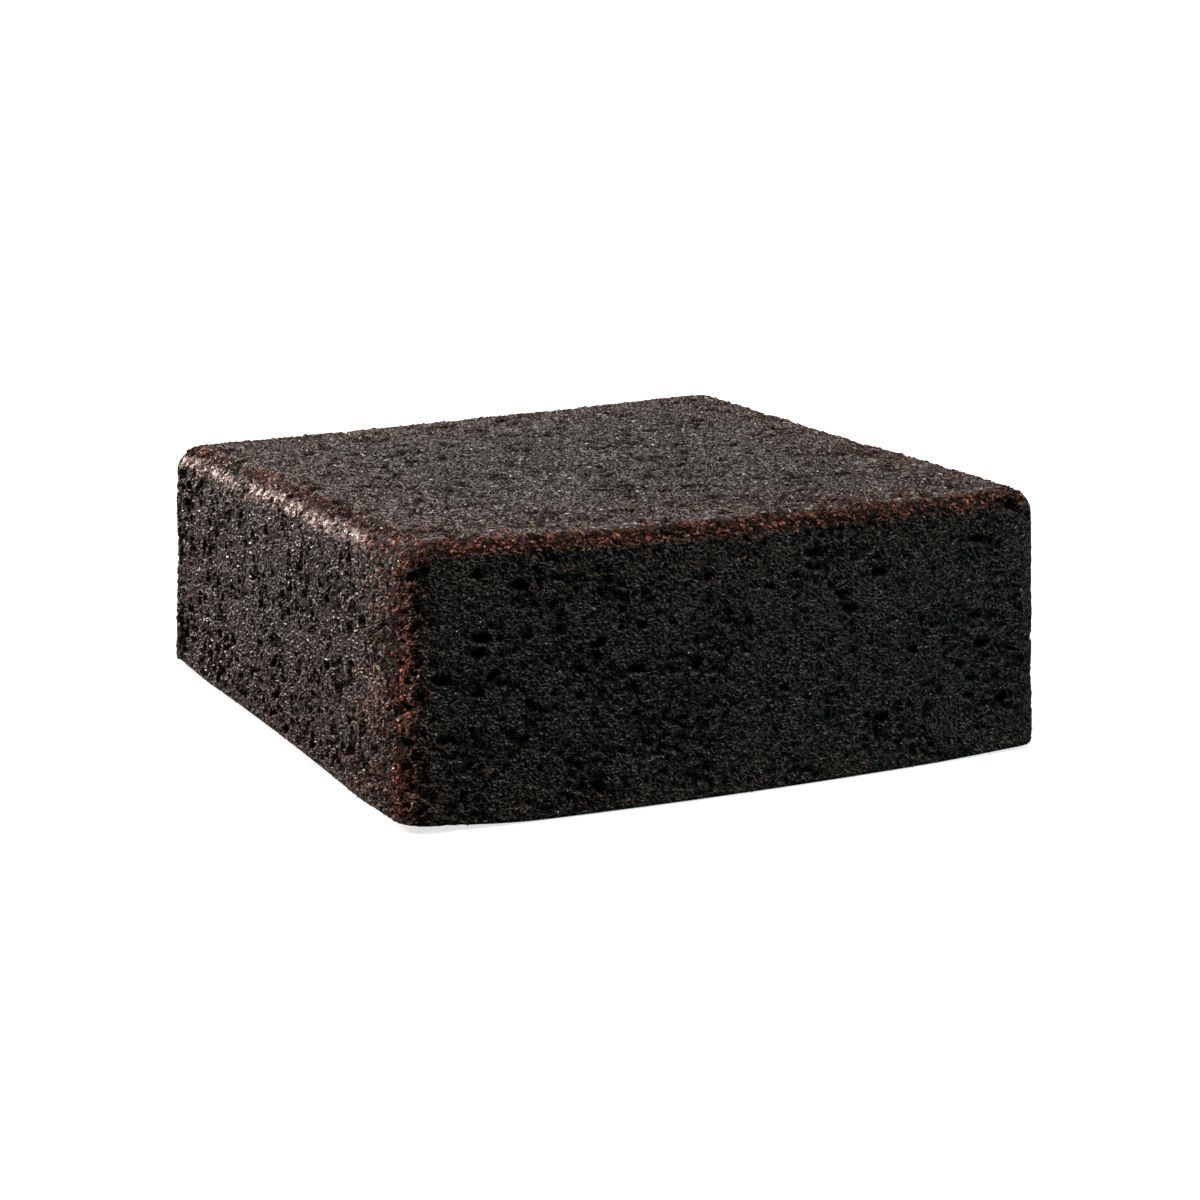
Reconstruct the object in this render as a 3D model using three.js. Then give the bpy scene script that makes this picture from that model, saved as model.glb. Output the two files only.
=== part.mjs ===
// A plain chocolate mud cake baked in a square tin and turned out upside down, so that the tin's
// rounded bottom edge is now the rounded top edge. It is one uncut piece: a single closed solid.
// Millimetres, +Z up. The origin is the middle of the box around the cake, at its foot, -Y is the
// broad front face and -X the left face.

import * as THREE from "three";

// The block, as if its faces were straight.
const WIDTH = 201.5; // along X, at the foot
const DEPTH = 209; // along Y, at the foot
const HEIGHT = 76; // the mean of the four corners
const CORNER_RADIUS = 8; // upright edges
const TOP_RADIUS = 8.7; // rounded edge round the top
const FOOT_RADIUS = 1; // worn edge round the foot
const TAPER = 2.4; // how far each face leans in by the top

// How far the middle of each face stands out from the straight line between its corners.
const BOW = {
  front: { foot: 5, top: 3.8 },
  back: { foot: 1.5, top: 1 },
  left: { foot: -2.3, top: -2.3 },
  right: { foot: 1, top: 0.5 },
};

// The cake rose unevenly: the height at each corner as a share of HEIGHT.
const RISE = { frontLeft: 1.038, frontRight: 1.022, backLeft: 0.952, backRight: 1.017 };

// The foot curls up a little at the corners and is flat everywhere else.
const CURL = { frontLeft: 2, frontRight: 0.5, backLeft: 1.5, backRight: 1 };
const CURL_START = 0.6; // share of the half width where the curl begins
const CURL_HEIGHT = 18; // the height over which the curl fades out

// The top sank a little between its corners, and the baking left long, low waves.
const TOP_SAG = 0.9;
const TOP_WAVE = 0.15;
const SIDE_WAVE = 0.15;

// How finely the block is divided.
const STEPS_ALONG_FACE = 14;
const STEPS_ROUND_CORNER = 5;
const STEPS_UP_FACE = 7;
const STEPS_ROUND_TOP = 6;
const STEPS_ROUND_FOOT = 2;
const TOP_INSETS = [6, 14, 26, 42, 60, 80]; // rings across the top, in from its flat edge
const FOOT_INSETS = [80, 45, 24, 13, 6]; // rings across the underside, from the middle outwards

const QUARTER = Math.PI / 2;

// The four corner values blended over the plan; u and v run from 0 to 1 along X and Y.
function blend(values, u, v) {
  const front = (1 - u) * values.frontLeft + u * values.frontRight;
  const back = (1 - u) * values.backLeft + u * values.backRight;
  return (1 - v) * front + v * back;
}

function smoothStep(from, to, x) {
  const t = Math.min(Math.max((x - from) / (to - from), 0), 1);
  return t * t * (3 - 2 * t);
}

// The rounded square at one level, counterclockwise from above, drawn in by inset on every side.
function outlineAt(inset) {
  const halfX = WIDTH / 2 - inset;
  const halfY = DEPTH / 2 - inset;
  const radius = Math.max(CORNER_RADIUS - 0.6 * inset, 1);
  const sides = [
    { corner: [1, -1], along: [1, 0] },
    { corner: [1, 1], along: [0, 1] },
    { corner: [-1, 1], along: [-1, 0] },
    { corner: [-1, -1], along: [0, -1] },
  ];
  const points = [];
  sides.forEach(({ corner, along }, turn) => {
    const centre = [corner[0] * (halfX - radius), corner[1] * (halfY - radius)];
    const run = along[0] !== 0 ? 2 * (halfX - radius) : 2 * (halfY - radius);
    const outward = (turn - 1) * QUARTER;
    for (let i = 0; i < STEPS_ALONG_FACE; i += 1) {
      const back = run * (1 - i / STEPS_ALONG_FACE);
      points.push([
        centre[0] + radius * Math.cos(outward) - along[0] * back,
        centre[1] + radius * Math.sin(outward) - along[1] * back,
      ]);
    }
    for (let i = 0; i < STEPS_ROUND_CORNER; i += 1) {
      const angle = outward + (QUARTER * i) / STEPS_ROUND_CORNER;
      points.push([
        centre[0] + radius * Math.cos(angle),
        centre[1] + radius * Math.sin(angle),
      ]);
    }
  });
  return points;
}

// Takes a point of the straight block to its place on the baked one.
function baked([x, y], z) {
  const across = x / (WIDTH / 2);
  const deep = y / (DEPTH / 2);
  const up = z / HEIGHT;
  const bowX = x < 0 ? BOW.left : BOW.right;
  const bowY = y < 0 ? BOW.front : BOW.back;
  const outX = THREE.MathUtils.lerp(bowX.foot, bowX.top, up) * (1 - deep * deep);
  const outY = THREE.MathUtils.lerp(bowY.foot, bowY.top, up) * (1 - across * across);
  const sideWave = SIDE_WAVE * Math.sin(x / 17 - z / 23 + 1) * Math.cos(y / 19 + z / 15);
  const topWave = TOP_WAVE * Math.sin(x / 21 + 0.6) * Math.cos(y / 16 - 1.1);
  const sag = TOP_SAG * (1 - (across * deep) ** 2);
  const rise = blend(RISE, across / 2 + 0.5, deep / 2 + 0.5);
  const curlShare =
    smoothStep(CURL_START, 1, Math.abs(across)) * smoothStep(CURL_START, 1, Math.abs(deep));
  const curl =
    blend(CURL, across / 2 + 0.5, deep / 2 + 0.5) *
    curlShare *
    (1 - smoothStep(0, CURL_HEIGHT, z));
  return new THREE.Vector3(
    x + across * (outX + sideWave * up),
    y + deep * (outY + sideWave * up),
    z * rise + curl + (topWave - sag) * smoothStep(0.6, 1, up)
  );
}

// Every level of the block from the middle of the underside to the middle of the top.
function levels() {
  const rings = FOOT_INSETS.map((inset) => ({ inset: inset + FOOT_RADIUS, z: 0 }));
  for (let i = 0; i <= STEPS_ROUND_FOOT; i += 1) {
    const angle = (QUARTER * i) / STEPS_ROUND_FOOT;
    rings.push({
      inset: FOOT_RADIUS * (1 - Math.sin(angle)),
      z: FOOT_RADIUS * (1 - Math.cos(angle)),
    });
  }
  const shoulder = HEIGHT - TOP_RADIUS;
  for (let i = 1; i < STEPS_UP_FACE; i += 1) {
    rings.push({ inset: 0, z: THREE.MathUtils.lerp(FOOT_RADIUS, shoulder, i / STEPS_UP_FACE) });
  }
  for (let i = 0; i <= STEPS_ROUND_TOP; i += 1) {
    const angle = (QUARTER * i) / STEPS_ROUND_TOP;
    rings.push({
      inset: TOP_RADIUS * (1 - Math.cos(angle)),
      z: shoulder + TOP_RADIUS * Math.sin(angle),
    });
  }
  TOP_INSETS.forEach((inset) => rings.push({ inset: inset + TOP_RADIUS, z: HEIGHT }));
  return rings;
}

// One closed body: the rings joined by strips, with a fan at the middle of the foot and of the top.
function bakedBlock() {
  const rings = levels().map(({ inset, z }) => {
    const lean = (TAPER * z) / HEIGHT;
    return outlineAt(inset + lean).map((point) => baked(point, z));
  });
  const vertices = rings.flat();
  const ringSize = rings[0].length;
  const footMiddle = vertices.push(baked([0, 0], 0)) - 1;
  const topMiddle = vertices.push(baked([0, 0], HEIGHT)) - 1;
  const triangles = [];
  for (let i = 0; i < ringSize; i += 1) {
    const next = (i + 1) % ringSize;
    triangles.push(footMiddle, next, i);
    for (let ring = 0; ring < rings.length - 1; ring += 1) {
      const low = ring * ringSize;
      const high = low + ringSize;
      triangles.push(low + i, low + next, high + next);
      triangles.push(low + i, high + next, high + i);
    }
    const last = (rings.length - 1) * ringSize;
    triangles.push(topMiddle, last + i, last + next);
  }
  const geometry = new THREE.BufferGeometry().setFromPoints(vertices);
  geometry.setIndex(triangles);
  const box = new THREE.Box3().setFromPoints(vertices);
  const middle = box.getCenter(new THREE.Vector3());
  geometry.translate(-middle.x, -middle.y, -box.min.z);
  geometry.computeVertexNormals();
  return geometry;
}

const crumb = new THREE.MeshStandardMaterial({ color: 0x2b1d18, roughness: 0.7, metalness: 0 });
const cake = new THREE.Mesh(bakedBlock(), crumb);
cake.name = "cake";

const group = new THREE.Group();
group.add(cake);
export default group;
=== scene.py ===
import math

import bpy
import numpy as np
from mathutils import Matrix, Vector
from mathutils.geometry import delaunay_2d_cdt


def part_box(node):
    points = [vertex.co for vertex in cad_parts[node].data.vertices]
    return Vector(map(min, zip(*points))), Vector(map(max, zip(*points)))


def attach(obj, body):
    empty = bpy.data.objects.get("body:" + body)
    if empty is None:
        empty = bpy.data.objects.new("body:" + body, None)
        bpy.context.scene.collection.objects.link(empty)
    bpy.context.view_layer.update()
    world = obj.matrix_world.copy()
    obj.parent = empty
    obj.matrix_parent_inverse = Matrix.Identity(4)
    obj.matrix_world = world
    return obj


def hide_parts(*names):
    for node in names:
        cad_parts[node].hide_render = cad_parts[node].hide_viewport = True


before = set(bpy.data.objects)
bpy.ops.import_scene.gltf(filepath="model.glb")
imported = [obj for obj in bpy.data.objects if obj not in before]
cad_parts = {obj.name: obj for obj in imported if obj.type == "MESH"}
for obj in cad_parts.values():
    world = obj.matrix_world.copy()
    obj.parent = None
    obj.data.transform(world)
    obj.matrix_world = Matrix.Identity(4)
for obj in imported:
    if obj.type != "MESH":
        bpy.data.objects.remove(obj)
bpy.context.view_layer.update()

# ---------------------------------------------------------------------------------------------
# The block of cake: one uncut piece of dense chocolate mud cake, baked in a square tin and
# turned out upside down, so that its rounded top edge is the tin's bottom edge. It rose and
# bowed unevenly in the oven, set with pores and pits in its crumb, and browned at its edges.

# The block's own lengths are millimetres, until its mesh is made.
MM = 0.001
QUARTER = math.pi / 2
WIDTH = 201.5
DEPTH = 209.0
HEIGHT = 76.0
# The corners get tighter with each millimetre that the outline is drawn in.
CORNER_RADIUS = 8.0
CORNER_TIGHTENING = 0.6
SMALLEST_CORNER = 1
TOP_RADIUS = 8.7
FOOT_RADIUS = 1.0
# How far the sides lean in, from the foot to the top.
TAPER = 2.4
FRONT_SHARPNESS = 1.7
# How far the middle of each face bows out, at the foot and at the top.
BOW = {"front": (5.0, 3.8), "back": (1.5, 1.0), "left": (-2.3, -2.3), "right": (1.0, 0.5)}
# How far the left and the right end of the front and the back rose.
RISE = {"front": (1.038, 1.022), "back": (0.952, 1.017)}
# How high the left and the right corner of the foot curl up.
CURL = {"front": (2.0, 0.5), "back": (1.5, 1.0)}
CURL_START = 0.6
CURL_HEIGHT = 18.0
TOP_SAG = 0.9
SAG_START = 0.6
TOP_WAVE = 0.15
SIDE_WAVE = 0.15
# The mesh has even triangles, in rows, with each point moved a little at random.
CRUMB_STEP = 1.14
FOOT_STEP = 3 * CRUMB_STEP
ROW_STEP = 0.87
ALONG_SHIFT = 0.22
UP_SHIFT = 0.2


def smooth_step(low, high, x):
    t = np.clip((x - low) / (high - low), 0, 1)
    return t * t * (3 - 2 * t)


def blend_corners(values, u, v):
    front = (1 - u) * values["front"][0] + u * values["front"][1]
    back = (1 - u) * values["back"][0] + u * values["back"][1]
    return (1 - v) * front + v * back


def on_outline(share, inset):
    """The place on the rounded square drawn in by inset, share going from 0 to 1 round it."""
    radius = np.maximum(CORNER_RADIUS - CORNER_TIGHTENING * inset, SMALLEST_CORNER)
    sides = np.array([WIDTH, DEPTH, WIDTH, DEPTH]) - 2 * CORNER_RADIUS
    stretches = np.ravel([sides, np.full(4, QUARTER * CORNER_RADIUS)], order="F")
    ends = np.cumsum(stretches)
    reach = (share % 1) * ends[-1]
    stretch = np.searchsorted(ends, reach, side="right").clip(0, 7)
    part = 1 - (ends[stretch] - reach) / stretches[stretch]
    turn = stretch // 2
    in_corner = stretch % 2
    angle = (turn - 1 + in_corner * part) * QUARTER
    corner_x = np.array([1, 1, -1, -1])[turn] * (WIDTH / 2 - inset - radius)
    corner_y = np.array([-1, 1, 1, -1])[turn] * (DEPTH / 2 - inset - radius)
    run = np.where(turn % 2, DEPTH, WIDTH) - 2 * (inset + radius)
    back = (1 - in_corner) * (1 - part) * run
    x = corner_x + radius * np.cos(angle) - np.array([1, 0, -1, 0])[turn] * back
    y = corner_y + radius * np.sin(angle) - np.array([0, 1, 0, -1])[turn] * back
    return x, y


def sharpened(points):
    """The straight block's points, with its rounded front edge pushed out to a sharper one."""
    y, z = points[:, 1], points[:, 2]
    over = np.clip(TOP_RADIUS - HEIGHT + z, 0, None) / TOP_RADIUS
    ahead = TOP_RADIUS - (DEPTH / 2 + y) + TAPER * z / HEIGHT
    ahead = np.clip(ahead, 0, None) / TOP_RADIUS
    push = FRONT_SHARPNESS * (2 * over * ahead) ** 2
    return points + np.column_stack([0 * push, -ahead * push, over * push])


def baked(x, y, z):
    """Takes points of the straight block to their places on the baked one."""
    across = x / (WIDTH / 2)
    deep = y / (DEPTH / 2)
    up = z / HEIGHT

    def bow(face):
        return BOW[face][0] + (BOW[face][1] - BOW[face][0]) * up

    out_x = np.where(x < 0, bow("left"), bow("right")) * (1 - deep**2)
    out_y = np.where(y < 0, bow("front"), bow("back")) * (1 - across**2)
    side_wave = SIDE_WAVE * np.sin(x / 17 - z / 23 + 1) * np.cos(y / 19 + z / 15)
    top_wave = TOP_WAVE * np.sin(x / 21 + 0.6) * np.cos(y / 16 - 1.1)
    sag = TOP_SAG * (1 - (across * deep) ** 2)
    curl = blend_corners(CURL, across / 2 + 0.5, deep / 2 + 0.5)
    curl = curl * smooth_step(CURL_START, 1, abs(across)) * smooth_step(CURL_START, 1, abs(deep))
    curl = curl * (1 - smooth_step(0, CURL_HEIGHT, z))
    rise = blend_corners(RISE, across / 2 + 0.5, deep / 2 + 0.5)
    places = [
        x + across * (out_x + side_wave * up),
        y + deep * (out_y + side_wave * up),
        z * rise + curl + (top_wave - sag) * smooth_step(SAG_START, 1, up),
    ]
    return np.stack(places, axis=1)


def side_profile():
    """Inset and height up one side, from the rim of the underside to the flat of the top."""
    foot = np.linspace(0, QUARTER, 5)
    top = np.linspace(0, QUARTER, 20)
    inset = [FOOT_RADIUS * (1 - np.sin(foot)), TOP_RADIUS * (1 - np.cos(top))]
    height = [
        FOOT_RADIUS * (1 - np.cos(foot)),
        HEIGHT - TOP_RADIUS + TOP_RADIUS * np.sin(top),
    ]
    inset, height = np.concatenate(inset), np.concatenate(height)
    along = np.concatenate([[0], np.cumsum(np.hypot(np.diff(inset), np.diff(height)))])
    return inset, height, along


def scattered_inside(rim, step, rng):
    """Points over the inside of a rim, in shifted rows, each moved a little at random."""
    half = np.abs(rim).max(0)
    points = []
    for i, y in enumerate(np.arange(-half[1], half[1], step * ROW_STEP)):
        x = np.arange(-half[0], half[0], step) + (i % 2) * step / 2
        points.append(np.stack([x, np.full(len(x), y)], axis=1))
    points = np.concatenate(points)
    points += rng.uniform(-ALONG_SHIFT, ALONG_SHIFT, points.shape) * step
    from_edge = half - np.abs(points)
    corner = np.hypot(*np.maximum(CORNER_RADIUS - from_edge, 0).T)
    keep = (from_edge.min(1) > 0.6 * step) & (corner < CORNER_RADIUS - 0.9 * step)
    return points[keep]


def fill(rim, points):
    """Triangles that close a rim through the points inside it."""
    count = len(rim)
    vertices = [Vector(p) for p in np.concatenate([rim, points])]
    edges = [(i, (i + 1) % count) for i in range(count)]
    _, _, faces, origin, _, _ = delaunay_2d_cdt(vertices, edges, [], 1, 1e-6)
    lookup = [o[0] for o in origin]
    return [[lookup[i] for i in face] for face in faces]


rng = np.random.default_rng(7)
profile_inset, profile_height, profile_along = side_profile()
ring_count = int(2 * (WIDTH + DEPTH) / CRUMB_STEP)
row_count = int(profile_along[-1] / (CRUMB_STEP * ROW_STEP))
rows = np.arange(row_count + 1)[:, None]
shares = (np.arange(ring_count) + 0.5 * (rows % 2)) / ring_count
alongs = np.repeat(rows, ring_count, 1) * profile_along[-1] / row_count
shares = shares + rng.uniform(-ALONG_SHIFT, ALONG_SHIFT, shares.shape) / ring_count
alongs[1:-1] += rng.uniform(-UP_SHIFT, UP_SHIFT, alongs[1:-1].shape) * CRUMB_STEP
inset = np.interp(alongs, profile_along, profile_inset).ravel()
height = np.interp(alongs, profile_along, profile_height).ravel()
side_x, side_y = on_outline(shares.ravel(), inset + TAPER * height / HEIGHT)
sides = np.stack([side_x, side_y, height], axis=1)
faces = []
for row in range(row_count):
    low, high = row * ring_count, (row + 1) * ring_count
    for i in range(ring_count):
        j = (i + 1) % ring_count
        if row % 2:
            faces += [(low + i, low + j, high + j), (low + i, high + j, high + i)]
        else:
            faces += [(low + i, low + j, high + i), (low + j, high + j, high + i)]
top_rim = sides[-ring_count:, :2]
top_inner = scattered_inside(top_rim, CRUMB_STEP, rng)
foot_rim = sides[:ring_count, :2]
foot_inner = scattered_inside(foot_rim, FOOT_STEP, rng)
top_flat = np.column_stack([top_inner, np.full(len(top_inner), HEIGHT)])
foot_flat = np.column_stack([foot_inner, np.zeros(len(foot_inner))])
straight = np.concatenate([sides, top_flat, foot_flat])
first_top = row_count * ring_count
first_foot = (row_count + 1) * ring_count + len(top_inner)
top_names = range(first_top, first_foot)
foot_names = [*range(ring_count), *range(first_foot, first_foot + len(foot_inner))]
faces += [tuple(top_names[i] for i in f) for f in fill(top_rim, top_inner)]
faces += [tuple(foot_names[i] for i in reversed(f)) for f in fill(foot_rim, foot_inner)]
places = baked(*sharpened(straight).T) * MM
box_low, box_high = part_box("cake")
shift = (np.array(box_low + box_high) - places.min(0) - places.max(0)) / 2
places += shift * [1, 1, 0]

cake_mesh = bpy.data.meshes.new("cake_crumb")
cake_mesh.from_pydata(places.tolist(), [], faces)
cake_mesh.shade_smooth()
cake = bpy.data.objects.new("cake_crumb", cake_mesh)
bpy.context.scene.collection.objects.link(cake)


def fading(distance, reach):
    """1 where the distance is 0, and next to nothing at twice the reach."""
    return np.exp(-((distance / reach) ** 2))


# Where each point lies: how far inside each face, how far below the top, and how far it has
# turned over the rounded edge, from 0 on the sides to 1 on the flat of the top.
across, deep, z = straight.T
from_left, from_right = WIDTH / 2 + across, WIDTH / 2 - across
from_front, from_back = DEPTH / 2 + deep, DEPTH / 2 - deep
inside_x = np.minimum(from_left, from_right)
inside_y = np.minimum(from_front, from_back)
to_corner = np.hypot(inside_x, inside_y)
to_top = HEIGHT - z
to_side = np.minimum(inside_x, inside_y) - TAPER * z / HEIGHT
over = np.clip(TOP_RADIUS - to_top, 0, None)
turn = np.arctan2(over, np.clip(TOP_RADIUS - to_side, 0, None)) / QUARTER
turn = np.where(to_top > TOP_RADIUS, 0, turn)

# How far each point belongs to each face: from where, inside the face, to where.
on_left = smooth_step(12, 4, from_left)
on_right = smooth_step(14, 4, from_right)
on_front = smooth_step(12, 3, from_front)
on_back = smooth_step(14, 4, from_back)
on_top = smooth_step(0.7, 1.0, turn)
on_side = (1 - on_top) * smooth_step(0.2, 0.8, z)

# The browned rim runs along the rounded edge, lower at the front. The distance from it is
# counted down the side, so it is below 0 over the rim. The rim ends sharply on its lower side.
RIM_TURN = 0.68
FRONT_RIM_DROP = 0.28
FRONT_DROP_RUN = (14, 7)
RIM_REACH_DOWN = 1.2
RIM_REACH_UP = 2.6
BACK_RIM_FADE = 0.35
BACK_FADE_RUN = (8, 2)
over_edge = QUARTER * TOP_RADIUS
rim_turn = RIM_TURN - FRONT_RIM_DROP * smooth_step(*FRONT_DROP_RUN, from_front)
from_rim = (rim_turn - turn) * over_edge
from_rim = np.where(turn < 1, from_rim, (rim_turn - 1) * over_edge - (to_side - TOP_RADIUS))
from_rim = np.where(to_top > TOP_RADIUS, rim_turn * over_edge + to_top - TOP_RADIUS, from_rim)
rim = fading(from_rim, np.where(from_rim > 0, RIM_REACH_DOWN, RIM_REACH_UP))
rim = rim * (1 - BACK_RIM_FADE * smooth_step(*BACK_FADE_RUN, from_back))

# The upright edges are browned too, more on the left and the right face than round the edge
# on the front and the back, and most of all at the left of the front.
UPRIGHT_BROWN = 1.15
UPRIGHT_REACH = 12.0
UPRIGHT_NARROWING = 5.5
RIGHT_UPRIGHTS = 0.12
BACK_UPRIGHTS = 0.4
near = np.hypot(UPRIGHT_NARROWING * inside_x, inside_y)
upright = UPRIGHT_BROWN * fading(near, UPRIGHT_REACH) * np.where(across > 0, RIGHT_UPRIGHTS, 1.0)
upright = upright * np.where(deep > 0, BACK_UPRIGHTS, 1.0)

# The crumb round the rim, the corners and the foot is a warmer brown. It reaches further in
# over the left of the top than over the right, and the front face has the least of it.
WARM_RIM = 0.3
WARM_RIM_START = 3
WARM_DOWN = 12
WARM_IN_LEFT = 26
WARM_IN_RIGHT = 18
WARM_ON_TOP = 0.8
WARM_CORNER = 0.45
CORNER_REACH = 12
LEFT_CORNER_REACH = 36
WARM_FOOT = 0.28
FOOT_REACH = 16
WARMTH = 0.92
warm_in = np.where(across < 0, WARM_IN_LEFT, WARM_IN_RIGHT)
warm_reach = np.where(from_rim > 0, WARM_DOWN, warm_in)
warm = WARM_RIM * fading(np.maximum(abs(from_rim) - WARM_RIM_START, 0), warm_reach)
warm = warm * np.where(from_rim < -4, WARM_ON_TOP, 1.0)
corner_reach = CORNER_REACH + (LEFT_CORNER_REACH - CORNER_REACH) * on_left
warm = np.maximum(warm, WARM_CORNER * fading(to_corner, corner_reach))
warm = np.maximum(warm, WARM_FOOT * fading(z, FOOT_REACH))
warm = warm * (1 - 0.7 * on_front) * (1 - 0.6 * on_back) * (1 - 0.4 * on_right) * WARMTH

# A smooth, glossy band of skin runs along the left edge, low on the rounding. It ends
# towards the front, where the skin is torn and the browned crumb shows.
GLAZE_TURN = 0.31
GLAZE_WIDTH = 0.17
GLAZE_END = (44, 24)
TORN_REACH = 6
TORN_CRUST = 0.6
LEFT_RIM_CRUST = 0.55
at_end = smooth_step(*GLAZE_END, from_front)
band = on_left * fading(turn - GLAZE_TURN, GLAZE_WIDTH) * (to_top < TOP_RADIUS + 2)
glaze = band * (1 - 0.9 * at_end)
torn = on_left * at_end * fading(from_rim - 4, TORN_REACH)
rim = np.maximum(rim, band * at_end * TORN_CRUST)
over_left_rim = on_left * (from_rim < 1) * fading(from_rim + 4, TORN_REACH)
rim = np.maximum(rim, LEFT_RIM_CRUST * over_left_rim)

# The left face is darker along its rim and in a faint wide band below it.
LEFT_RIM_DARK = 0.62
DARK_DOWN = 2.0
DARK_UP = 6.0
LEFT_BAND_DARK = 0.22
BAND_DEPTH = 14
dark = LEFT_RIM_DARK * on_left * fading(from_rim, np.where(from_rim > 0, DARK_DOWN, DARK_UP))
dark = np.maximum(dark, LEFT_BAND_DARK * on_left * fading(to_top - BAND_DEPTH, BAND_DEPTH))

# All that together is the share of browned crust at each point.
LEAST_CRUST = 0.01
LEFT_CRUST = 0.075
left_crust = LEFT_CRUST * on_left * (1 - 0.6 * smooth_step(-10, 90, deep))
warmth = warm * (0.6 + 0.7 * on_left * (1 - smooth_step(0.5, 0.9, turn)))
crust = np.clip(np.maximum(rim, upright) + LEAST_CRUST + left_crust + warmth, 0, 1)


def mark(mesh, name, values):
    """Keeps one number for each point of the mesh, under this name."""
    layer = mesh.attributes.new(name, "FLOAT", "POINT")
    layer.data.foreach_set("value", values.astype(np.float32))


mark(cake_mesh, "crust", crust)
mark(cake_mesh, "glaze", glaze)
mark(cake_mesh, "dark", dark)
mark(cake_mesh, "torn", torn)
mark(cake_mesh, "on_top", on_top)
mark(cake_mesh, "on_side", on_side)
unpressed = cake_mesh.attributes.new("unpressed", "FLOAT_VECTOR", "POINT")
unpressed.data.foreach_set("vector", places.astype(np.float32).ravel())


class Value:
    """A number flowing through a node tree. Arithmetic on it adds the nodes that work it out."""

    def __init__(self, tree, socket):
        self.tree = tree
        self.socket = socket

    def calc(self, operation, *others):
        node = self.tree.nodes.new("ShaderNodeMath")
        node.operation = operation
        for value, socket in zip((self, *others), node.inputs):
            wire(self.tree, value, socket)
        return Value(self.tree, node.outputs[0])

    def __add__(self, other):
        return self.calc("ADD", other)

    def __radd__(self, other):
        return self.calc("ADD", other)

    def __sub__(self, other):
        return self.calc("SUBTRACT", other)

    def __rsub__(self, other):
        return (self * -1).calc("ADD", other)

    def __mul__(self, other):
        return self.calc("MULTIPLY", other)

    def __truediv__(self, other):
        return self.calc("DIVIDE", other)

    def most(self, other):
        return self.calc("MAXIMUM", other)

    def least(self, other):
        return self.calc("MINIMUM", other)

    def step(self, low, high):
        """Rises smoothly from 0 to 1 as this goes from low to high."""
        settings = {"Value": self, "From Min": low, "From Max": high}
        node = add_node(self.tree, "ShaderNodeMapRange", settings, interpolation_type="SMOOTHSTEP")
        return Value(self.tree, node.outputs[0])


def wire(tree, value, socket):
    """Joins a value to a socket, or sets the socket to it where it is a plain number."""
    if isinstance(value, Value):
        value = value.socket
    if isinstance(value, bpy.types.NodeSocket):
        tree.links.new(value, socket)
    else:
        socket.default_value = value


def add_node(tree, kind, inputs=None, **settings):
    """Adds a node, sets its options, and fills or joins its inputs."""
    node = tree.nodes.new(kind)
    for name, value in settings.items():
        setattr(node, name, value)
    for name, value in (inputs or {}).items():
        wire(tree, value, node.inputs[name])
    return node


def add_sockets(tree, direction, sockets):
    """Gives a tree its named inputs or outputs, each of the kind that stands by its name."""
    for label, kind in sockets.items():
        tree.interface.new_socket(label, in_out=direction, socket_type="NodeSocket" + kind)


def parts(tree, triple):
    """The three numbers of a vector or a colour."""
    node = add_node(tree, "ShaderNodeSeparateXYZ", {0: triple})
    return [Value(tree, socket) for socket in node.outputs]


def vector(tree, operation, *values):
    node = add_node(tree, "ShaderNodeVectorMath", operation=operation)
    for value, socket in zip(values, node.inputs):
        wire(tree, value, socket)
    return node.outputs[0]


def scaled(tree, direction, amount):
    inputs = {0: direction, "Scale": amount}
    return add_node(tree, "ShaderNodeVectorMath", inputs, operation="SCALE").outputs[0]


def one_over(size):
    return size.calc("POWER", -1) if isinstance(size, Value) else 1 / size


def cells(tree, place, size):
    """Distance from the middle of the nearest cell, in cells, and the cell's random numbers."""
    node = add_node(tree, "ShaderNodeTexVoronoi", {"Vector": place, "Scale": one_over(size)})
    return Value(tree, node.outputs["Distance"]), parts(tree, node.outputs["Color"])


def noise_node(tree, place, size, detail):
    inputs = {"Vector": place, "Scale": one_over(size), "Detail": detail}
    return add_node(tree, "ShaderNodeTexNoise", inputs)


def noise(tree, place, size, detail=1.0):
    """Soft random values round 0.5, with features of about this size."""
    return Value(tree, noise_node(tree, place, size, detail).outputs["Fac"])


def drift(tree, place, size, detail=1.0):
    """A soft random direction, with features of about this size."""
    colour = noise_node(tree, place, size, detail).outputs["Color"]
    return vector(tree, "SUBTRACT", colour, (0.5, 0.5, 0.5))


def shifted(tree, place, direction, amount):
    return vector(tree, "ADD", place, scaled(tree, direction, amount))


def creases(tree, place, size, width, detail=1.0):
    """1 in the narrow, winding gaps between lumps of about this size, 0 on the lumps."""
    from_crease = (noise(tree, place, size, detail) - 0.5).calc("ABSOLUTE")
    return from_crease.step(width, width * 0.2)


HOLE_FLATNESS = 2.2


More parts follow.
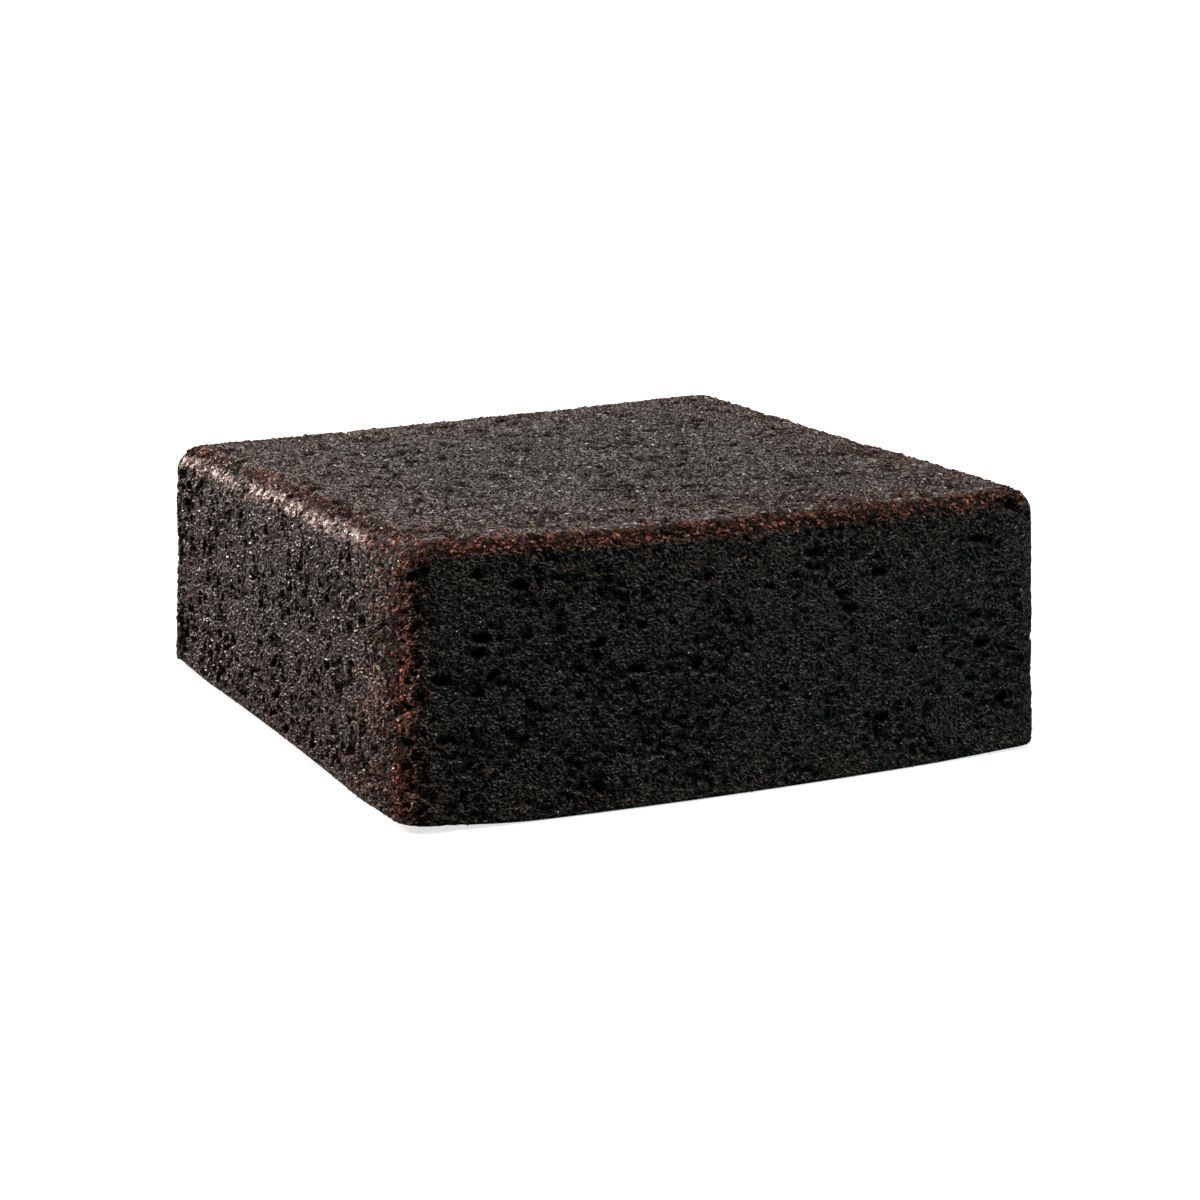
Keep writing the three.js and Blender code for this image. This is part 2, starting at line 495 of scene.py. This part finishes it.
def holes(tree, place, pore_size, pit_size, marks):
    """Masks of the small pores, the wide pits and the cracks that the rising batter left.

    They are flatter than round, their edges wander, and only a share of the cells has a hole.
    """
    torn, on_top, crust = marks
    flat = vector(tree, "MULTIPLY", place, (1, 1, HOLE_FLATNESS))
    bend = drift(tree, flat, pore_size * 0.45)
    distance, (share, _, _) = cells(tree, shifted(tree, flat, bend, pore_size * 0.9), pore_size)
    share = (share + torn * 0.3).least(1.0)
    pore = (distance / (share * 0.36).most(0.02)).step(1.0, 0.88) * share.step(0.66, 0.7)
    bend = drift(tree, flat, pit_size * 0.2, 2)
    distance, (size, share, _) = cells(tree, shifted(tree, flat, bend, pit_size * 0.35), pit_size)
    pit = (distance / (size * size * 0.2 + 0.08)).step(1.0, 0.92) * share.step(0.4, 0.42)
    where = noise(tree, place, pit_size * 1.1, 0) - on_top * 0.05
    crack = creases(tree, flat, pit_size * 0.6, on_top * 0.02 + 0.045) * where.step(0.52, 0.54)
    return pore * (1 - on_top * 0.8), pit * crust.step(0.8, 0.3), crack


def new_geometry_tree(name, sockets):
    """A geometry tree with these inputs, its output, and its inputs by name."""
    tree = bpy.data.node_groups.new(name, "GeometryNodeTree")
    add_sockets(tree, "INPUT", {"Geometry": "Geometry"} | sockets)
    add_sockets(tree, "OUTPUT", {"Geometry": "Geometry"})
    start = tree.nodes.new("NodeGroupInput")
    end = tree.nodes.new("NodeGroupOutput")
    return tree, start.outputs, end.inputs["Geometry"]


def read_attribute(tree, name):
    node = add_node(tree, "GeometryNodeInputNamedAttribute", {"Name": name})
    return Value(tree, node.outputs["Attribute"])


def stored(tree, geometry, name, value, domain="POINT"):
    inputs = {"Geometry": geometry, "Name": name, "Value": value}
    node = add_node(tree, "GeometryNodeStoreNamedAttribute", inputs, domain=domain)
    return node.outputs[0]


def moved(tree, geometry, offset):
    inputs = {"Geometry": geometry, "Offset": offset}
    return add_node(tree, "GeometryNodeSetPosition", inputs).outputs[0]


def rested(tree, geometry):
    """The geometry with all that is under the floor lifted to it."""
    x, y, z = parts(tree, add_node(tree, "GeometryNodeInputPosition").outputs[0])
    above = add_node(tree, "ShaderNodeCombineXYZ", {0: x, 1: y, 2: z.most(0.0)})
    inputs = {"Geometry": geometry, "Position": above.outputs[0]}
    return add_node(tree, "GeometryNodeSetPosition", inputs).outputs[0]


def painted(tree, geometry, material):
    inputs = {"Geometry": geometry, "Material": material}
    return add_node(tree, "GeometryNodeSetMaterial", inputs).outputs[0]


relief = {
    "Lump Size": 2.6 * MM,
    "Lump Height": 0.25 * MM,
    "Pore Size": 3.8 * MM,
    "Pore Depth": 1.3 * MM,
    "Pit Size": 11.0 * MM,
    "Pit Depth": 2.6 * MM,
}
SWELL_SIZE = 13 * MM
SWELL_HEIGHT = 0.6 * MM
SLIT_SIZE = 4.5 * MM
SLIT_DEPTH = 0.8 * MM
DRAWN_IN = 0.25 * MM
FOOT_FADE = (0.5 * MM, 4 * MM)
GLAZE_SMOOTHING = 0.85


def relief_tree():
    """Presses the crumb's lumps and holes into the block, along its normals."""
    sockets = {label: "Float" for label in relief} | {"Material": "Material"}
    tree, inputs, result = new_geometry_tree("crumb relief", sockets)
    lump_size, lump_height, pore_size, pore_depth, pit_size, pit_depth = (
        Value(tree, inputs[label]) for label in relief
    )
    place = add_node(tree, "GeometryNodeInputPosition").outputs[0]
    normal = add_node(tree, "GeometryNodeInputNormal").outputs[0]
    above_foot = parts(tree, place)[2].step(*FOOT_FADE)
    crust, glaze, torn, on_top = (
        read_attribute(tree, name) for name in ("crust", "glaze", "torn", "on_top")
    )
    rough = (1 - glaze * GLAZE_SMOOTHING) * above_foot
    pore, pit, crack = holes(tree, place, pore_size, pit_size, (torn, on_top, crust))
    gap = creases(tree, place, lump_size, 0.07)
    fine = noise(tree, place, lump_size * 0.45)
    swell = noise(tree, place, SWELL_SIZE)
    slit = creases(tree, place, SLIT_SIZE, 0.05) * glaze
    level = 1 - on_top * 0.75 + crust * 1.4
    height = ((fine - 0.5) * 1.2 - gap) * lump_height * level - pore * pore_depth
    height = (height - pit * pit_depth - crack * pore_depth) * rough
    height = height + (swell - 0.5) * SWELL_HEIGHT * above_foot * level
    height = height - slit * SLIT_DEPTH - DRAWN_IN
    hollow = ((pore + pit + crack) * rough).least(1.0)
    pressed = stored(tree, inputs["Geometry"], "hollow", hollow)
    pressed = moved(tree, pressed, scaled(tree, normal, height))
    wire(tree, painted(tree, rested(tree, pressed), inputs["Material"]), result)
    return tree


def grown(piece, tree, settings):
    """The piece's mesh with the tree applied, the tree's inputs set as given."""
    modifier = piece.modifiers.new(tree.name, "NODES")
    modifier.node_group = tree
    for item in tree.interface.items_tree:
        if item.in_out == "INPUT" and item.name in settings:
            modifier[item.identifier] = settings[item.name]
    piece.update_tag()
    evaluated = piece.evaluated_get(bpy.context.evaluated_depsgraph_get())
    mesh = bpy.data.meshes.new_from_object(evaluated)
    piece.modifiers.remove(modifier)
    return mesh


NODULE_SIZE = 2.4 * MM
NODULE_WANDER = 2 * MM
BARE_PATCH_SIZE = 4 * MM
GLAZE_SLIT_SIZE = 3.5 * MM


def crumb_finish_group():
    """Colour, gloss and fine relief of crumb, from plain dark to browned and to glazed."""
    group = bpy.data.node_groups.new("crumb finish", "ShaderNodeTree")
    numbers = ["Crust Share", "Hollow", "Glaze", "Tone", "Grain Size", "Stretch", "Knobby", "Wet"]
    add_sockets(group, "INPUT", {"Place": "Vector", "Crumb": "Color", "Crust": "Color"})
    add_sockets(group, "INPUT", {label: "Float" for label in numbers})
    add_sockets(group, "OUTPUT", {"Colour": "Color"})
    add_sockets(group, "OUTPUT", {label: "Float" for label in ("Roughness", "Moist", "Height")})
    start = group.nodes.new("NodeGroupInput").outputs
    end = group.nodes.new("NodeGroupOutput").inputs
    place = start["Place"]
    crust, hollow, glaze, tone, grain_size, stretch, knobby, wet = (
        Value(group, start[label]) for label in numbers
    )
    # Grains, each with its own shade and shine, parted by winding folds.
    stretched = add_node(group, "ShaderNodeCombineXYZ", {0: 0.85, 1: stretch, 2: 1.0})
    flat = vector(group, "MULTIPLY", place, stretched.outputs[0])
    bend = drift(group, flat, grain_size * 1.1, 2)
    bent = shifted(group, flat, bend, grain_size * 0.8)
    distance, (shade, shine, kind) = cells(group, bent, grain_size)
    fold = (noise(group, bent, grain_size * 1.5) - 0.5).calc("ABSOLUTE")
    crest = distance.step(0.62, 0.3)
    gap = fold.step(0.07, 0.12).most((1 - crest) * 0.7)
    grit = noise(group, place, grain_size * 0.35, 2)
    # The glaze is worn through in small patches and slit where it shrank.
    glaze = glaze * noise(group, place, BARE_PATCH_SIZE).step(0.56, 0.52)
    rough = 1 - glaze * 0.8
    slit = creases(group, place, GLAZE_SLIT_SIZE, 0.06, 2) * glaze
    # Browned nodules stand where the crust is strong.
    knobby = (crust * 2.0 - 0.4).most(0.0).least(1.0) * knobby
    wandering = shifted(group, place, bend, NODULE_WANDER)
    nodule, (brown, _, _) = cells(group, wandering, NODULE_SIZE)
    clump = nodule.step(0.36, 0.5) * knobby
    gap = (gap.most(clump) * rough + slit).least(1.0)
    # The colour of each grain, with painted shade in the gaps and holes: they are darkened where
    # shade would fall.
    share = ((crust + glaze * 0.25) * (0.4 + kind * 0.6 + brown * 0.6)).least(1.0)
    colours = {0: share, 6: start["Crumb"], 7: start["Crust"]}
    base = add_node(group, "ShaderNodeMix", colours, data_type="RGBA").outputs[2]
    light = (1 - gap * 0.94) * (1 - hollow * 0.95) * (shade * 0.4 + 0.8) * (tone * 0.8 + 0.55)
    light = light * (1 + (brown - 0.8) * knobby * 1.2) * (1 - crust.step(0.0, 0.25) * 0.3)
    wire(group, scaled(group, base, light), end["Colour"])
    wire(group, (0.7 - glaze * 0.25 + gap * 0.3).least(1.0), end["Roughness"])
    # Moisture lies on the raised grains, and far more of it on a few of them.
    moist = shine * 0.3 + 0.12 + shine.step(0.94, 0.97) * 0.5
    moist = moist * (1 - glaze * 0.76) * (1 - gap) * (1 - hollow)
    moist = moist * (1 - crust * (1 - glaze) * 0.75) + (wet + knobby * 0.2) * (1 - gap)
    wire(group, moist, end["Moist"])
    height = fold.step(0.13, 0.0) + crest * 0.8 - slit * 1.5 - clump * 2.5
    wire(group, height * rough + grit * 0.3, end["Height"])
    return group


crumb_finish = crumb_finish_group()
COAT_ROUGHNESS = 0.25
WET_COAT_ROUGHNESS = 0.12
DARKEST_TONE = -0.4
# The scale of the pattern from front to back, and what is added to it on the top and on the
# right face, which starts this far from the middle. The lower it is, the longer the grains.
STRETCH = 0.5
STRETCH_MORE_ON_TOP = 0.1
STRETCH_MORE_ON_RIGHT = 0.35
RIGHT_FACE_START = 93 * MM


def crumb_material(name, crumb, crust, grain_size, bump, wet=0.0, spread=1.0, pressed=False):
    """A crumb finish. Pressed crumb has holes of its own, and its pattern goes with the relief."""
    material = bpy.data.materials.new(name)
    material.use_nodes = True
    tree = material.node_tree
    shader = tree.nodes["Principled BSDF"]
    shader.inputs["Specular IOR Level"].default_value = 0.1
    shader.inputs["Coat Roughness"].default_value = WET_COAT_ROUGHNESS if wet else COAT_ROUGHNESS
    shader.inputs["Coat IOR"].default_value = 1.5

    def marked(attribute):
        return add_node(tree, "ShaderNodeAttribute", attribute_name=attribute).outputs

    crusty, hollow, glaze, tone, dark, on_top = (
        Value(tree, marked(attribute)["Fac"])
        for attribute in ("crust", "hollow", "glaze", "tone", "dark", "on_top")
    )
    if pressed:
        place = marked("unpressed")["Vector"]
        marks = (Value(tree, marked("torn")["Fac"]), on_top, crusty)
        pore, pit, crack = holes(tree, place, relief["Pore Size"], relief["Pit Size"], marks)
        hollow = (pore + pit + crack).least(1.0) * (1 - glaze * GLAZE_SMOOTHING)
    else:
        place = add_node(tree, "ShaderNodeTexCoord").outputs["Object"]
    more_on_top = on_top.calc("GREATER_THAN", 0.5) * STRETCH_MORE_ON_TOP
    on_right = parts(tree, place)[0].calc("GREATER_THAN", RIGHT_FACE_START)
    more_on_right = on_right * STRETCH_MORE_ON_RIGHT
    inputs = {
        "Place": place,
        "Crumb": crumb,
        "Crust": crust,
        "Crust Share": crusty,
        "Hollow": hollow,
        "Glaze": glaze,
        "Tone": ((tone - 0.5) * spread + 0.5 - dark).most(DARKEST_TONE),
        "Grain Size": grain_size,
        "Stretch": more_on_top.most(more_on_right) + STRETCH,
        "Knobby": 1.0 if pressed else 0.0,
        "Wet": wet,
    }
    finish = add_node(tree, "ShaderNodeGroup", inputs, node_tree=crumb_finish).outputs
    wire(tree, finish["Colour"], shader.inputs["Base Color"])
    wire(tree, finish["Roughness"], shader.inputs["Roughness"])
    wire(tree, finish["Moist"], shader.inputs["Coat Weight"])
    relief_inputs = {"Strength": 1.0, "Distance": bump, "Height": finish["Height"]}
    bumped = add_node(tree, "ShaderNodeBump", relief_inputs).outputs[0]
    wire(tree, bumped, shader.inputs["Normal"])
    wire(tree, bumped, shader.inputs["Coat Normal"])
    return material


CHOCOLATE = (0.032, 0.0192, 0.0145, 1)
BROWNED = (0.41, 0.107, 0.052, 1)
body_crumb = crumb_material("crumb", CHOCOLATE, BROWNED, 1.0 * MM, 0.45 * MM, pressed=True)
cake.data = grown(cake, relief_tree(), relief | {"Material": body_crumb})
cake.data.name = "cake_crumb_relief"
mark(cake.data, "tone", np.full(len(cake.data.vertices), 0.5))
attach(cake, "root")
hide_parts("cake")

# ---------------------------------------------------------------------------------------------
# Crumbs on the top: long crumbs, 1 to 2 mm, of the same dark cake. The tin's lining pulled
# them loose from the flat of the top, and they lie on it every way, stuck by their moisture.

LOOSE_CHOCOLATE = (0.035, 0.021, 0.0155, 1)
grain_crumb = crumb_material("crumb grains", LOOSE_CHOCOLATE, BROWNED, 0.7 * MM, 0.5 * MM)

# Each lump tilts this way and that and turns all round, in radians.
LEAST_TURN = (-1, -1, 0)
MOST_TURN = (1, 1, 6.3)
# How big the dents that wear a lump are, and how far they move it, against its own size.
DENT_SIZE = 1.3
DENT_DEPTH = 0.7


def grain_tree():
    """Scatters small worn lumps over a surface, sunk into it and turned at random."""
    sockets = dict.fromkeys(("Density", "Size", "Sink", "Tumble"), "Float")
    sockets |= dict.fromkeys(("Seed", "Segments", "Rings"), "Int")
    sockets |= dict.fromkeys(("Shortest", "Longest"), "Vector")
    tree, inputs, result = new_geometry_tree("crumb grains", sockets | {"Material": "Material"})
    density, size, sink, tumble = (
        Value(tree, inputs[label]) for label in ("Density", "Size", "Sink", "Tumble")
    )
    zone, hollow, glaze = (read_attribute(tree, name) for name in ("zone", "hollow", "glaze"))
    share = zone * (1 - hollow * 1.5).most(0.0) * (1 - glaze * 0.9)
    scatter = add_node(
        tree,
        "GeometryNodeDistributePointsOnFaces",
        {"Mesh": inputs["Geometry"], "Seed": inputs["Seed"], "Density": density * share},
        distribute_method="RANDOM",
    ).outputs
    lump = add_node(
        tree,
        "GeometryNodeMeshUVSphere",
        {"Segments": inputs["Segments"], "Rings": inputs["Rings"], "Radius": 0.5},
    )
    lump = add_node(tree, "GeometryNodeSetShadeSmooth", {"Geometry": lump.outputs["Mesh"]})
    turn = add_node(
        tree,
        "FunctionNodeRandomValue",
        {0: LEAST_TURN, 1: MOST_TURN, "Seed": 1},
        data_type="FLOAT_VECTOR",
    )
    tilt = add_node(tree, "ShaderNodeCombineXYZ", {0: tumble, 1: tumble, 2: 1.0})
    turned = add_node(
        tree,
        "FunctionNodeRotateRotation",
        {
            "Rotation": scatter["Rotation"],
            "Rotate By": vector(tree, "MULTIPLY", turn.outputs[0], tilt.outputs[0]),
        },
        rotation_space="LOCAL",
    )
    stretch = add_node(
        tree,
        "FunctionNodeRandomValue",
        {0: inputs["Shortest"], 1: inputs["Longest"], "Seed": 2},
        data_type="FLOAT_VECTOR",
    )
    placed = add_node(
        tree,
        "GeometryNodeInstanceOnPoints",
        {
            "Points": scatter["Points"],
            "Instance": lump.outputs[0],
            "Rotation": turned.outputs[0],
            "Scale": scaled(tree, stretch.outputs[0], size),
        },
    )
    inward = scaled(tree, scatter["Normal"], sink * -1)
    sunk = add_node(
        tree,
        "GeometryNodeTranslateInstances",
        {"Instances": placed.outputs[0], "Translation": inward, "Local Space": False},
    )
    tone = add_node(tree, "FunctionNodeRandomValue", {2: 0.0, 3: 1.0, "Seed": 3})
    toned = stored(tree, sunk.outputs[0], "tone", tone.outputs[1], domain="INSTANCE")
    real = add_node(tree, "GeometryNodeRealizeInstances", {"Geometry": toned}).outputs[0]
    place = add_node(tree, "GeometryNodeInputPosition").outputs[0]
    dents = drift(tree, place, size * DENT_SIZE)
    worn = moved(tree, real, scaled(tree, dents, size * DENT_DEPTH))
    wire(tree, painted(tree, rested(tree, worn), inputs["Material"]), result)
    return tree


grains = grain_tree()


def scattered_crumbs(name, zone, sizes):
    """Crumbs of one kind, set into the cake wherever the zone is above 0."""
    carrier = cake.data.copy()
    mark(carrier, "zone", zone)
    piece = bpy.data.objects.new(name, carrier)
    bpy.context.scene.collection.objects.link(piece)
    piece.data = grown(piece, grains, sizes)
    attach(piece, "root")


long_crumbs = {
    "Segments": 4,
    "Rings": 2,
    "Shortest": (0.8, 0.5, 0.45),
    "Longest": (1.7, 1.1, 0.75),
}
top_sizes = long_crumbs | {
    "Density": 0.66 / MM**2,
    "Size": 1.0 * MM,
    "Sink": 0.08 * MM,
    "Tumble": 1.2,
    "Seed": 3,
    "Material": grain_crumb,
}
scattered_crumbs("top_crumbs", on_top, top_sizes)

# ---------------------------------------------------------------------------------------------
# Crumbs on the sides: the same loose crumbs of cake, fewer and a little larger, left where
# the block came away from the wall of the tin. They lie flatter and sit deeper.

side_sizes = long_crumbs | {
    "Density": 0.25 / MM**2,
    "Size": 1.15 * MM,
    "Sink": 0.22 * MM,
    "Tumble": 0.8,
    "Seed": 4,
    "Material": grain_crumb,
}
scattered_crumbs("side_crumbs", on_side, side_sizes)

# ---------------------------------------------------------------------------------------------
# Browned nodules: coarser, rounder crumbs along the rounded top edge and down the upright
# edges. They are cake too, baked hard and red-brown where it touched two walls of the tin.

RIM_BAND = 1.7
CLEAR_OF_FOOT = 5
UPRIGHT_NODULES = 0.8
RED_BROWN = (0.36, 0.096, 0.05, 1)
near_rim = fading(from_rim, RIM_BAND) * (z > CLEAR_OF_FOOT)
near_corner = UPRIGHT_NODULES * upright * on_side
nodule_crumb = crumb_material(
    "browned nodules",
    LOOSE_CHOCOLATE,
    RED_BROWN,
    1.2 * MM,
    0.45 * MM,
    wet=0.25,
    spread=1.6,
)
rim_sizes = {
    "Density": 0.45 / MM**2,
    "Size": 1.5 * MM,
    "Sink": 0.35 * MM,
    "Tumble": 1.0,
    "Shortest": (0.8, 0.7, 0.7),
    "Longest": (1.4, 1.1, 1.0),
    "Seed": 8,
    "Segments": 6,
    "Rings": 4,
    "Material": nodule_crumb,
}
scattered_crumbs("rim_crumbs", np.maximum(near_rim, near_corner), rim_sizes)

# ---------------------------------------------------------------------------------------------
# Glint grains: tiny grains, well under a millimetre, more on the sides than on the top, with a
# wet coat. Their pale colour is a painted glint, standing in for small highlights on the crumb.

GLINTS_ON_TOP = 0.3
# The grains' pale colours are painted glints.
PAINTED_GLINT = (0.2, 0.21, 0.21, 1)
PAINTED_BROWN_GLINT = (0.3, 0.25, 0.23, 1)
glint_crumb = crumb_material("painted glint grains", PAINTED_GLINT, PAINTED_BROWN_GLINT, 0.7 * MM, 0.1 * MM, wet=0.5)
glint_sizes = long_crumbs | {
    "Density": 0.05 / MM**2,
    "Size": 0.42 * MM,
    "Sink": -0.1 * MM,
    "Tumble": 1.2,
    "Seed": 21,
    "Material": glint_crumb,
}
scattered_crumbs("painted_glint_grains", np.maximum(on_side, GLINTS_ON_TOP * on_top), glint_sizes)

# ---------------------------------------------------------------------------------------------
# The floor: a wide sheet of matt white studio card under the cake. It glows a little, as painted
# light:
# less near the cake, so that its shadow shows there, and more away from it, where the lamps' light
# falls off. It throws no light of its own back on the cake.

FLOOR_REACH = 20.0
GLOW_RUN = (0.1, 0.6)
GLOW_UNDER = 0.7
GLOW_GAIN = 0.35
floor_mesh = bpy.data.meshes.new("floor")
floor_corners = [(-1, -1), (1, -1), (1, 1), (-1, 1)]
floor_points = [(x * FLOOR_REACH, y * FLOOR_REACH, 0) for x, y in floor_corners]
floor_mesh.from_pydata(floor_points, [], [(0, 1, 2, 3)])
floor = bpy.data.objects.new("floor", floor_mesh)
bpy.context.scene.collection.objects.link(floor)
floor.visible_diffuse = False
floor.visible_glossy = False
card = bpy.data.materials.new("floor")
card.use_nodes = True
tree = card.node_tree
shader = tree.nodes["Principled BSDF"]
shader.inputs["Base Color"].default_value = (0.3, 0.3, 0.3, 1)
shader.inputs["Roughness"].default_value = 0.9
shader.inputs["Specular IOR Level"].default_value = 0.0
shader.inputs["Emission Strength"].default_value = 1.0
place = add_node(tree, "ShaderNodeTexCoord").outputs["Object"]
length = add_node(tree, "ShaderNodeVectorMath", {0: place}, operation="LENGTH").outputs["Value"]
glow = Value(tree, length).step(*GLOW_RUN) * GLOW_GAIN + GLOW_UNDER
wire(tree, scaled(tree, (1.0, 1.0, 1.0), glow), shader.inputs["Emission Color"])
floor_mesh.materials.append(card)

# ---------------------------------------------------------------------------------------------
# Backdrop and lights: a white backdrop that throws only a faint cool light, and soft boxes
# low behind the cake, low in front and above, set so that the relief of the crumb shows.

BACKDROP_WHITE = (1, 1, 1, 1)
BACKDROP_LIGHT = (0.75, 1.0, 1.0, 1)
BACKDROP_POWER = 0.05
world = bpy.data.worlds.new("studio")
bpy.context.scene.world = world
world.use_nodes = True
tree = world.node_tree
backdrop = tree.nodes["Background"]
seen = add_node(tree, "ShaderNodeLightPath").outputs["Is Camera Ray"]
sheet_colours = {0: seen, 6: BACKDROP_LIGHT, 7: BACKDROP_WHITE}
sheet = add_node(tree, "ShaderNodeMix", sheet_colours, data_type="RGBA").outputs[2]
wire(tree, sheet, backdrop.inputs["Color"])
strength = Value(tree, seen) * (1 - BACKDROP_POWER) + BACKDROP_POWER
wire(tree, strength, backdrop.inputs["Strength"])


def add_lamp(name, light, back):
    """Puts a light in the scene, with its back turned this way."""
    lamp = bpy.data.objects.new(name, light)
    bpy.context.scene.collection.objects.link(lamp)
    lamp.rotation_mode = "QUATERNION"
    lamp.rotation_quaternion = back.to_track_quat("Z", "Y")
    return lamp


def softbox(name, place, aim, size, watts, colour=(1, 1, 1)):
    """A soft box at a place, aimed at another, with its width and height and its power."""
    light = bpy.data.lights.new(name, "AREA")
    light.shape = "RECTANGLE"
    light.size, light.size_y = size
    light.energy = watts
    light.color = colour
    lamp = add_lamp(name, light, Vector(place) - Vector(aim))
    lamp.location = place
    lamp.visible_camera = False
    return light


MIDDLE = (0, 0, 0.04)
UPPER_MIDDLE = (0, 0, 0.05)
NEAR_EDGE = (-0.102, -0.105, 0.04)
softbox("key", (-0.6, 1.45, 0.48), UPPER_MIDDLE, (0.3, 0.3), 57, (1.0, 0.91, 0.85))
softbox("sheen", (0.8, 1.6, 0.52), UPPER_MIDDLE, (1.5, 0.6), 18.0, (0.98, 0.96, 0.94))
softbox("front", (1.65, -1.0, 0.56), MIDDLE, (0.3, 0.3), 36, (0.5, 0.94, 0.97))
softbox("overhead", (0.1, -0.3, 1.45), MIDDLE, (0.5, 0.5), 38, (0.93, 1.0, 0.98))
beam = softbox("corner", (-1.3, 0.6, 0.6), NEAR_EDGE, (0.03, 0.12), 0.085, (1.0, 0.84, 0.7))
beam.spread = math.radians(3.5)
softbox("spark", (0.5, -0.6, 1.2), MIDDLE, (0.08, 0.08), 2.0)
sky = bpy.data.lights.new("sky", "SUN")
sky.energy = 0.25
sky.angle = math.radians(60)
add_lamp("sky", sky, Vector((-0.15, 0.2, 1.0)))

# ---------------------------------------------------------------------------------------------
# The camera: a long lens, a little above the cake, on the side of its left near edge. It is
# aimed just off the middle of the block and stands less than a metre away.

AZIMUTH = math.radians(-25.43)
ELEVATION = math.radians(13.25)
DISTANCE = 0.8557
AIM = (8.6 * MM + shift[0], 4.0 * MM + shift[1], 30.2 * MM)
camera_data = bpy.data.cameras.new("camera")
camera_data.lens = 82.4
camera_data.sensor_width = 36
camera = bpy.data.objects.new("camera", camera_data)
bpy.context.scene.collection.objects.link(camera)
back = Vector(
    (
        math.sin(AZIMUTH) * math.cos(ELEVATION),
        -math.cos(AZIMUTH) * math.cos(ELEVATION),
        math.sin(ELEVATION),
    )
)
camera.location = Vector(AIM) + back * DISTANCE
camera.rotation_mode = "QUATERNION"
camera.rotation_quaternion = (-back).to_track_quat("-Z", "Y")
bpy.context.scene.camera = camera
bpy.context.scene.view_settings.view_transform = "Standard"
